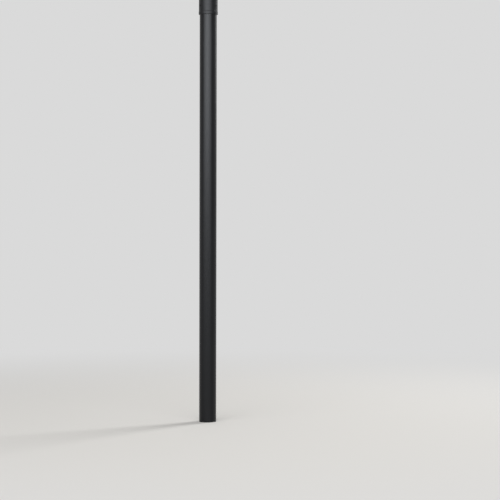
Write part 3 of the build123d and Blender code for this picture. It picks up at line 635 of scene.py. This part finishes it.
class LAMPPOST_OT_pan(PieceOperator, bpy.types.Operator):
    """Model the lantern's square pan with its hollow moulding and the recesses under its corners"""

    bl_idname = "lamppost.pan"
    bl_label = "Pan"

    def build(self, scene):
        sizes = scene.lamp_lantern
        half, height, foot = measure("pan")
        base = half_of("fitter") + sizes.pan_margin
        cove = (base, sizes.pan_lip), (half, sizes.pan_lip + sizes.pan_cove)
        inner = half - sizes.pan_rim
        hole = scene.lamp_lamp.nipple_hole
        outline = [
            (hole, 0), (base, 0), *sagitta(*cove, sizes.pan_cove_sag, steps=12),
            (half, height), (inner, height), (inner, sizes.pan_floor), (hole, sizes.pan_floor),
        ]
        pan = draw_up("pan_casting", outline, foot, sides=4)
        bore(pan, sizes.recess, sizes.recess_depth, half_of("bottom_rail") - sizes.recess_inset, foot)
        bore(pan, sizes.weep_hole, 2 * sizes.pan_floor, inner - sizes.weep_hole_inset, foot)
        complete(pan, "pan", sizes.arris)


def groove(sizes, lean, outer_at, inner_at):
    """How far in and how far out the groove reaches that holds a pane, which is furthest out at one height
    and furthest in at another."""
    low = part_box("glass_right")[0]
    slant = math.hypot(1, lean)
    outer, inner = [low.x + sizes.pane / slant + lean * (z - low.z) for z in (outer_at, inner_at)]
    return inner - sizes.pane * slant - sizes.groove_gap, outer + sizes.groove_gap


def build_bottom_rail(sizes, lean):
    half, height, foot = measure("bottom_rail")
    top = foot + height
    floor = height - sizes.foot_groove
    groove_in, groove_out = groove(sizes, lean, top, top - sizes.foot_groove)
    inner = half - sizes.rail_width
    outline = [
        (inner, 0), (half, 0), (half, height - sizes.rail_edge), (half - sizes.rail_edge, height),
        (groove_out, height), (groove_out, floor), (groove_in, floor), (groove_in, height), (inner, height),
    ]
    rail = draw_up("bottom_rail_casting", outline, foot, sides=4)
    complete(rail, "bottom_rail", sizes.fine_arris)


def build_head_rail(sizes, lean):
    half, height, foot = measure("head_rail")
    base = half - sizes.head_rail_foot
    cove = (base, sizes.head_rail_lip), (half, sizes.head_rail_lip + sizes.head_rail_cove)
    groove_in, groove_out = groove(sizes, lean, top_of("glass_front"), foot)
    inner = half - sizes.head_rail_width
    outline = [
        (inner, 0), (groove_in, 0), (groove_in, sizes.head_groove), (groove_out, sizes.head_groove),
        (groove_out, 0), (base, 0), *sagitta(*cove, sizes.head_rail_sag, steps=8),
        (half, height), (inner, height),
    ]
    rail = draw_up("head_rail_casting", outline, foot, sides=4)
    complete(rail, "head_rail", sizes.fine_arris)


def build_corner_bars(sizes, lean):
    """One bar with two legs, extruded up and out, and its three copies."""
    low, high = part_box("corner_bar_front_left")
    rise = high.z - low.z
    out = lean * rise
    heel = low.x + out
    wall = sizes.bar_wall
    inside = heel + wall
    bar = add(
        bpy.ops.mesh.primitive_plane_add, "corner_bar_front_left_casting", size=wall,
        location=(heel + wall / 2, heel + wall / 2, low.z),
    )
    bpy.ops.object.transform_apply(location=True)
    for axis in (0, 1):
        pick(bar, lambda at: at[axis] > inside - SAME_PLACE and at[1 - axis] < inside + SAME_PLACE)
        grow = [0, 0, 0]
        grow[axis] = sizes.bar_leg - wall
        bpy.ops.mesh.extrude_region_move(TRANSFORM_OT_translate={"value": grow})
    bpy.ops.mesh.select_all(action="SELECT")
    bpy.ops.mesh.extrude_region_move(TRANSFORM_OT_translate={"value": (-out, -out, rise)})
    turn_outwards()
    round_arrises(bar, sizes.arris)
    bars = {"front_left": bar}
    for corner, turn in CORNERS.items():
        if turn:
            bars[corner] = copy_turned(bar, f"corner_bar_{corner}_casting", turn)
    for corner, made in bars.items():
        put_in_place(made, f"corner_bar_{corner}")


class LAMPPOST_OT_cage(PieceOperator, bpy.types.Operator):
    """Model the bottom rail, the four corner bars and the head rail"""

    bl_idname = "lamppost.cage"
    bl_label = "Cage"

    def build(self, scene):
        sizes = scene.lamp_lantern
        low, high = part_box("corner_bar_back_right")
        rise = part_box("head_rail")[0].z - top_of("bottom_rail")
        lean = (high.x - (low.x + sizes.bar_leg)) / rise
        build_bottom_rail(sizes, lean)
        build_corner_bars(sizes, lean)
        build_head_rail(sizes, lean)


class LAMPPOST_OT_glass(PieceOperator, bpy.types.Operator):
    """Give the four panes their glass"""

    bl_idname = "lamppost.glass"
    bl_label = "Glass"

    def build(self, scene):
        refinish("pane", "glass_")


def bell(eave, crown, sag, wall, seat, steps):
    """The outer curve of a bell-cast roof from its crown down to its eave, and the inner curve a wall's
    thickness below it from the seat up to the inside of the crown."""
    (centre_x, centre_z), radius = centre_of_arc(eave, crown, sag)

    def curve(start, end, reach):
        turns = in_steps(*[math.asin((centre_x - x) / reach) for x in (start, end)], steps)
        return [(centre_x - reach * math.sin(turn), centre_z - reach * math.cos(turn)) for turn in turns]

    return curve(crown[0], eave[0], radius), curve(seat, crown[0] - wall, radius + wall)


def build_roof(sizes, arris):
    low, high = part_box("roof")
    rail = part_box("head_rail")[1]
    vent = half_of("vent_box")
    eave, wall = high.x, sizes.wall
    drop, top = low.z - rail.z, high.z - rail.z
    crown = vent + sizes.crown_margin
    seat, soffit = rail.x - sizes.seat, rail.x + sizes.rail_gap
    lip_top = drop + sizes.edge - wall
    hole = vent - sizes.vent_seat
    edge_top, crown_foot = (eave, drop + sizes.edge), (crown, top - sizes.crown)
    outer, inner = bell(edge_top, crown_foot, sizes.sag, wall, seat, steps=28)
    outline = [
        (hole, top), (crown, top), *outer, (eave, drop), (eave - wall, drop),
        (eave - wall, lip_top), (soffit, lip_top), (soffit, 0), (seat, 0), *inner,
        (crown - wall, top - wall), (hole, top - wall),
    ]
    complete(draw_up("roof_casting", outline, rail.z, sides=4), "roof", arris, sharper_than=HIPS)


def build_vent_box(sizes):
    half, height, foot = measure("vent_box")
    vent = draw_up("vent_box_sheet", tube(half - sizes.vent_wall, half, height), foot, sides=4)
    for turn in (0, 90):
        for place in range(sizes.slots):
            offset = (place - (sizes.slots - 1) / 2) * sizes.slot_pitch
            cut_out(vent, slot_cutter(sizes, offset, foot + height / 2, half, turn))
    complete(vent, "vent_box", sizes.sheet_arris)


def slot_cutter(sizes, offset, z, half, turn):
    """A bar with a slot's section that runs through two opposite sides of the vent."""
    cutter = add(
        bpy.ops.mesh.primitive_cylinder_add, "slot_cutter", vertices=32, radius=sizes.slot_width / 2,
        depth=4 * half, rotation=(math.radians(90), 0, 0),
    )
    bpy.ops.object.transform_apply(rotation=True)
    for way in (1, -1):
        pick(cutter, lambda at: way * at.z > SAME_PLACE)
        stretch = way * (sizes.slot_height - sizes.slot_width) / 2
        bpy.ops.transform.translate(value=(0, 0, stretch))
    bpy.ops.mesh.select_all(action="SELECT")
    bpy.ops.transform.translate(value=(offset, 0, z))
    if turn:
        turn_about_axis(turn)
    bpy.ops.object.mode_set(mode="OBJECT")
    return cutter


def build_vent_cap(sizes, arris):
    low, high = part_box("vent_cap")
    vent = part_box("vent_box")[1]
    half, wall = high.x, sizes.wall
    drop, top = low.z - vent.z, high.z - vent.z
    crown = sizes.cap_crown_half
    seat = vent.x - sizes.vent_wall - sizes.cap_seat_gap
    edge_top, crown_foot = (half, drop + sizes.cap_edge), (crown, top - sizes.cap_crown)
    outer, inner = bell(edge_top, crown_foot, sizes.cap_sag, wall, seat, steps=20)
    outline = [
        (sizes.rod_hole, top), (crown, top), *outer, (half, drop), (half - wall, drop),
        (half - wall, 0), (seat, 0), *inner, (sizes.rod_hole, inner[-1][1]),
    ]
    cap = draw_up("vent_cap_casting", outline, vent.z, sides=4)
    complete(cap, "vent_cap", arris, sharper_than=HIPS)


def build_finial(sizes):
    _, height, foot = measure("finial")
    ball, neck, tip = sizes.finial_ball, sizes.finial_neck, sizes.finial_tip
    disc = (sizes.finial_disc, sizes.finial_foot)
    neck_top = sizes.finial_foot + sizes.finial_neck_rise
    ball_z = neck_top + math.sqrt(ball**2 - neck**2)
    start, end = -math.degrees(math.acos(neck / ball)), math.degrees(math.acos(tip / ball))
    outline = [
        (sizes.finial_disc, 0), *sagitta(disc, (neck, neck_top), sizes.finial_neck_sag, steps=10),
        *arc((0, ball_z), ball, start, end, steps=32)[1:], (sizes.finial_point, height), (0, height),
    ]
    complete(draw_up("finial_turning", outline, foot, sides=96, filled=True), "finial", sizes.sheet_arris)


class LAMPPOST_OT_roof(PieceOperator, bpy.types.Operator):
    """Model the bell-cast roof, the slotted vent, its cap and the finial"""

    bl_idname = "lamppost.roof"
    bl_label = "Roof"

    def build(self, scene):
        sizes, arris = scene.lamp_roof, scene.lamp_lantern.fine_arris
        build_roof(sizes, arris)
        build_vent_box(sizes)
        build_vent_cap(sizes, arris)
        build_finial(sizes)


# Lamp


def build_drip_cup(sizes):
    radius, rise, foot = measure("drip_cup")
    flat, wall = radius - sizes.cup_flare, sizes.cup_wall
    outline = [
        (sizes.nipple_hole, 0), *sagitta((flat, 0), (radius, rise), -wall, steps=12),
        *sagitta((radius - wall, rise), (flat - wall / 2, wall), wall, steps=12),
        (sizes.nipple_hole, wall),
    ]
    complete(draw_up("drip_cup_spinning", outline, foot, sides=96), "drip_cup", sizes.cup_edge)


def build_sleeve(sizes):
    radius, height, foot = measure("candle_sleeve")
    outline = tube(radius - sizes.sleeve_wall, radius, height)
    sleeve = draw_up("candle_sleeve_tube", outline, foot, sides=96)
    complete(sleeve, "candle_sleeve", sizes.sleeve_edge, "sleeve")


def build_holder(sizes):
    radius, height, foot = measure("lamp_socket")
    well = half_of("bulb_cap") + sizes.cap_gap
    outline = [(radius, 0), (radius, height), (well, height), (well, height - sizes.socket_well)]
    holder = draw_up("lamp_holder", outline, foot, sides=96, filled=True)
    complete(holder, "lamp_socket", sizes.socket_edge, "holder")


class LAMPPOST_OT_lamp(PieceOperator, bpy.types.Operator):
    """Model the drip cup, the candle sleeve and the lamp holder"""

    bl_idname = "lamppost.lamp"
    bl_label = "Lamp"

    def build(self, scene):
        sizes = scene.lamp_lamp
        build_drip_cup(sizes)
        build_sleeve(sizes)
        build_holder(sizes)


def build_screw_cap(sizes):
    """The cap with its thread as a row of waves, each drawn in so many steps."""
    radius, height, foot = measure("bulb_cap")
    pitch, depth, start = sizes.thread_pitch, sizes.thread_depth, sizes.thread_start
    steps = 8
    thread = []
    for step in range(int((height - start - pitch) / pitch) * steps + 1):
        wave = math.cos(2 * math.pi * step / steps) / 2 - 0.5
        thread.append((radius + depth * wave, start + pitch * step / steps))
    outline = [(sizes.contact, 0), (sizes.contact, sizes.contact_rise), *thread, (radius, height)]
    cap = draw_up("bulb_screw_cap", outline, foot, sides=96, filled=True)
    complete(cap, "bulb_cap", sizes.thread_edge, "nickel", sharper_than=THREAD)


def build_bulb_glass(sizes):
    """The blown glass, drawn up as a closed skin, opened at its foot and given its wall."""
    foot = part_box("bulb_glass")[0].z
    shoulder, turn = sizes.shoulder, math.degrees(sizes.shoulder)
    neck, neck_top, ball = sizes.bulb_neck, sizes.bulb_neck_rise, sizes.bulb
    blend = (ball * math.cos(shoulder) - neck) / (1 - math.cos(shoulder))
    middle = neck_top + (blend + ball) * math.sin(shoulder)
    outline = [
        (neck, 0), *arc((neck + blend, neck_top), blend, 180, 180 - turn, steps=14),
        *arc((0, middle), ball, -turn, 90, steps=48)[1:-1], (0, middle + ball),
    ]
    bulb = draw_up("bulb_glass_blown", outline, foot, sides=96, filled=True)
    pick(bulb, lambda at: abs(at.z - foot) < SAME_PLACE)
    bpy.ops.mesh.delete(type="ONLY_FACE")
    bpy.ops.object.mode_set(mode="OBJECT")
    modify(bulb, "SOLIDIFY", thickness=sizes.bulb_wall, offset=-1, use_even_offset=True)
    bpy.ops.object.shade_smooth()
    put_in_place(bulb, "bulb_glass", "bulb")
    return foot + middle


def build_stem(sizes):
    radius, height, foot = measure("bulb_stem")
    taper = (radius, sizes.stem_foot), (sizes.stem, sizes.stem_taper)
    outline = [(radius, 0), *sagitta(*taper, sizes.stem_sag, steps=12), (sizes.stem, height)]
    stem = draw_up("bulb_stem_pressed", outline, foot, sides=48, filled=True)
    complete(stem, "bulb_stem", sizes.stem_edge, "bulb")


def build_filaments(sizes, middle):
    """The filaments, the ring that gathers them and the wires that carry them, joined in one piece."""
    stem_top = Vector((0, 0, top_of("bulb_stem")))
    hub = Vector((0, 0, top_of("bulb_filaments") - sizes.filament))
    parts = []
    for place in range(sizes.filaments):
        turn = math.radians(45) + 2 * math.pi * place / sizes.filaments
        swing = Vector((math.cos(turn), math.sin(turn), 0))
        foot = swing * sizes.filament_spread + Vector((0, 0, middle - sizes.filament_drop))
        parts.append(rod(foot, swing * sizes.filament_gather + hub, sizes.filament))
        parts.append(rod(stem_top, foot, sizes.lead))
    parts.append(rod(stem_top, hub, sizes.lead))
    ring = add(
        bpy.ops.mesh.primitive_torus_add, "ring", major_radius=sizes.filament_gather,
        minor_radius=sizes.filament_ring, major_segments=48, minor_segments=12, location=hub,
    )
    select_only(*parts, ring)
    bpy.ops.object.join()
    joined = bpy.context.object
    joined.name = joined.data.name = "bulb_filament_cage"
    bpy.ops.object.transform_apply(location=True, rotation=True, scale=True)
    bpy.ops.object.shade_smooth_by_angle(angle=math.radians(40))
    put_in_place(joined, "bulb_filaments", "filament")


def rod(start, end, radius):
    """A round rod with softened ends between two points."""
    run = end - start
    made = add(
        bpy.ops.mesh.primitive_cylinder_add, "rod", vertices=16, radius=radius, depth=run.length,
        location=(start + end) / 2, rotation=run.to_track_quat("Z", "Y").to_euler(),
    )
    bpy.ops.object.transform_apply(location=True, rotation=True, scale=True)
    modify(made, "BEVEL", width=radius / 2, segments=3, limit_method="ANGLE")
    return made


class LAMPPOST_OT_bulb(PieceOperator, bpy.types.Operator):
    """Model the bulb: screw cap, glass, stem and filaments"""

    bl_idname = "lamppost.bulb"
    bl_label = "Bulb"

    def build(self, scene):
        sizes = scene.lamp_lamp
        build_screw_cap(sizes)
        middle = build_bulb_glass(sizes)
        build_stem(sizes)
        build_filaments(sizes, middle)


class LAMPPOST_OT_fasteners(PieceOperator, bpy.types.Operator):
    """Finish the screws, the nuts, the bridge, the tie rod and the nipple"""

    bl_idname = "lamppost.fasteners"
    bl_label = "Fasteners"

    def build(self, scene):
        refinish("oxide", "set_screw", "cage_screw")
        refinish("zinc", "pan_screw", "bridge", "tie_rod", "nipple")


# Stage


def lookers(tree):
    """1 for the rays that look straight, by reflection or through glass, and 0 for those that only light."""
    rays = add_node(tree, "LightPath")
    links = {0: (rays, "Is Camera Ray"), 1: (rays, "Is Glossy Ray")}
    straight_or_gloss = add_node(tree, "Math", links=links, operation="MAXIMUM")
    links = {0: straight_or_gloss, 1: (rays, "Is Transmission Ray")}
    return add_node(tree, "Math", links=links, operation="MAXIMUM")


# Width and height of the picture in pixels, and width of the sensor in millimetres
PICTURE, SENSOR = 500, 36.0
# The floor's radius, and how far out its own look starts and ends to fade into the backdrop's, in metres
FLOOR, FADE = 60, (0.7, 4.0)
# Each lamp's place, the height on the post's axis that it points at, its width and height, and the angle
# that its grid lets through. The wide one in front draws the highlight down the post, and its grid lets the
# highlight's ends fade. The high one, behind on the right, casts the shadow, and the small one there
# draws the rim.
LAMPS = (
    ("front_light", (-0.95, -5.95, 2.45), 2.3, (16.0, 1.8), 120),
    ("key_light", (3.4, 3.0, 5.6), 0.8, (1.8, 1.8), 180),
    ("rim_light", (2.6, 2.2, 2.4), 1.2, (0.8, 1.6), 180),
)


def build_floor(colours):
    """A pale floor that keeps the shadow near the post and runs out into the backdrop further off."""
    circle = bpy.ops.mesh.primitive_circle_add
    ground = add(circle, "studio_floor", vertices=128, radius=FLOOR, fill_type="NGON")
    finish, tree, on_object = new_finish("painted studio floor, matt")
    away = add_node(tree, "VectorMath", links=on_object, operation="LENGTH")
    reach = {"From Min": FADE[0], "From Max": FADE[1]}
    fade = add_node(tree, "MapRange", reach, {"Value": (away, "Value")}, interpolation_type="SMOOTHSTEP")
    share = add_node(tree, "Math", links={0: fade, 1: lookers(tree)}, operation="MULTIPLY")
    paint = add_node(tree, "BsdfPrincipled", {"Base Color": colours.floor, "Roughness": 0.8})
    pale = add_node(tree, "Emission", {"Color": colours.backdrop, "Strength": 1.0})
    mix = add_node(tree, "MixShader", links={"Fac": share, 1: paint, 2: pale})
    add_node(tree, "OutputMaterial", links={"Surface": mix})
    ground.data.materials.append(finish)


def build_world(scene, ambient, backdrop):
    """Soft light from all round, with a pale backdrop where it is seen."""
    scene.world = bpy.data.worlds.new("studio")
    scene.world.use_nodes = True
    tree = scene.world.node_tree
    tree.nodes.clear()
    soft = add_node(tree, "Background", {"Color": (1, 1, 1, 1), "Strength": ambient})
    pale = add_node(tree, "Background", {"Color": backdrop, "Strength": 1.0})
    mix = add_node(tree, "MixShader", links={"Fac": lookers(tree), 1: soft, 2: pale})
    add_node(tree, "OutputWorld", links={"Surface": mix})


def hang_lamps(powers):
    """The lamps, hidden from the camera and from what is seen through glass."""
    for name, place, aim, size, grid in LAMPS:
        bpy.ops.object.light_add(type="AREA", location=place)
        lamp = bpy.context.object
        lamp.name = name
        lamp.rotation_euler = (Vector((0, 0, aim)) - Vector(place)).to_track_quat("-Z", "Y").to_euler()
        lamp.data.shape = "RECTANGLE"
        lamp.data.size, lamp.data.size_y = size
        lamp.data.spread = math.radians(grid)
        lamp.data.energy = getattr(powers, name)
        lamp.visible_camera = lamp.visible_transmission = False


def build_camera(scene, settings):
    """The photograph's camera, aimed along +Y, beside the post by as much as the post is off the middle."""
    data = bpy.data.cameras.new("photograph_camera")
    camera = bpy.data.objects.new("photograph_camera", data)
    scene.collection.objects.link(camera)
    data.sensor_width = SENSOR
    data.lens = settings.lens
    data.dof.use_dof = False
    focal = settings.lens / SENSOR * PICTURE
    middle = PICTURE / 2
    beside = (middle - settings.post_column) / focal * settings.distance
    pitch = math.atan((middle - settings.horizon_row) / focal)
    camera.location = (beside, -settings.distance, settings.height)
    look = Vector((0, math.cos(pitch), -math.sin(pitch)))
    camera.rotation_euler = look.to_track_quat("-Z", "Y").to_matrix().to_4x4().to_euler()
    camera.rotation_euler.rotate_axis("Z", settings.roll)
    scene.camera = camera


class LAMPPOST_OT_stage(bpy.types.Operator):
    """Set up the floor, the light from all round, the lamps and the camera"""

    bl_idname = "lamppost.stage"
    bl_label = "Stage"
    bl_options = {"REGISTER", "UNDO"}

    def execute(self, context):
        scene = context.scene
        build_floor(scene.lamp_finishes)
        build_world(scene, scene.lamp_stage.ambient, scene.lamp_finishes.backdrop)
        hang_lamps(scene.lamp_stage)
        build_camera(scene, scene.lamp_stage)
        scene.view_settings.view_transform = "Standard"
        return {"FINISHED"}


# Panel and registration


class LAMPPOST_PT_panel(bpy.types.Panel):
    """Sizes, finishes and the pieces of the lamp post"""

    bl_idname = "LAMPPOST_PT_panel"
    bl_label = "Lamp Post"
    bl_space_type = "VIEW_3D"
    bl_region_type = "UI"
    bl_category = "Lamp Post"

    def draw(self, context):
        for group, kind in GROUPS.items():
            box = self.layout.box()
            box.label(text=kind.__doc__)
            for name in kind.__annotations__:
                box.prop(getattr(context.scene, group), name)
        for operator in OPERATORS:
            self.layout.operator(operator.bl_idname)


GROUPS = {
    "lamp_post": PostSizes,
    "lamp_lantern": LanternSizes,
    "lamp_roof": RoofSizes,
    "lamp_lamp": LampSizes,
    "lamp_finishes": Finishes,
    "lamp_stage": StageSettings,
}
OPERATORS = (
    LAMPPOST_OT_stage,
    LAMPPOST_OT_post,
    LAMPPOST_OT_fitter,
    LAMPPOST_OT_pan,
    LAMPPOST_OT_cage,
    LAMPPOST_OT_glass,
    LAMPPOST_OT_roof,
    LAMPPOST_OT_lamp,
    LAMPPOST_OT_bulb,
    LAMPPOST_OT_fasteners,
)


def register():
    """Registers the property groups, the operators and the panel."""
    for group, kind in GROUPS.items():
        bpy.utils.register_class(kind)
        setattr(bpy.types.Scene, group, bpy.props.PointerProperty(type=kind))
    for kind in (*OPERATORS, LAMPPOST_PT_panel):
        bpy.utils.register_class(kind)


def unregister():
    """Takes them all away again."""
    for kind in (LAMPPOST_PT_panel, *reversed(OPERATORS)):
        bpy.utils.unregister_class(kind)
    for group, kind in reversed(GROUPS.items()):
        delattr(bpy.types.Scene, group)
        bpy.utils.unregister_class(kind)


def main():
    """Registers the classes, then builds the stage and every piece."""
    register()
    for operator in OPERATORS:
        area, name = operator.bl_idname.split(".")
        getattr(getattr(bpy.ops, area), name)()


if __name__ == "__main__":
    main()
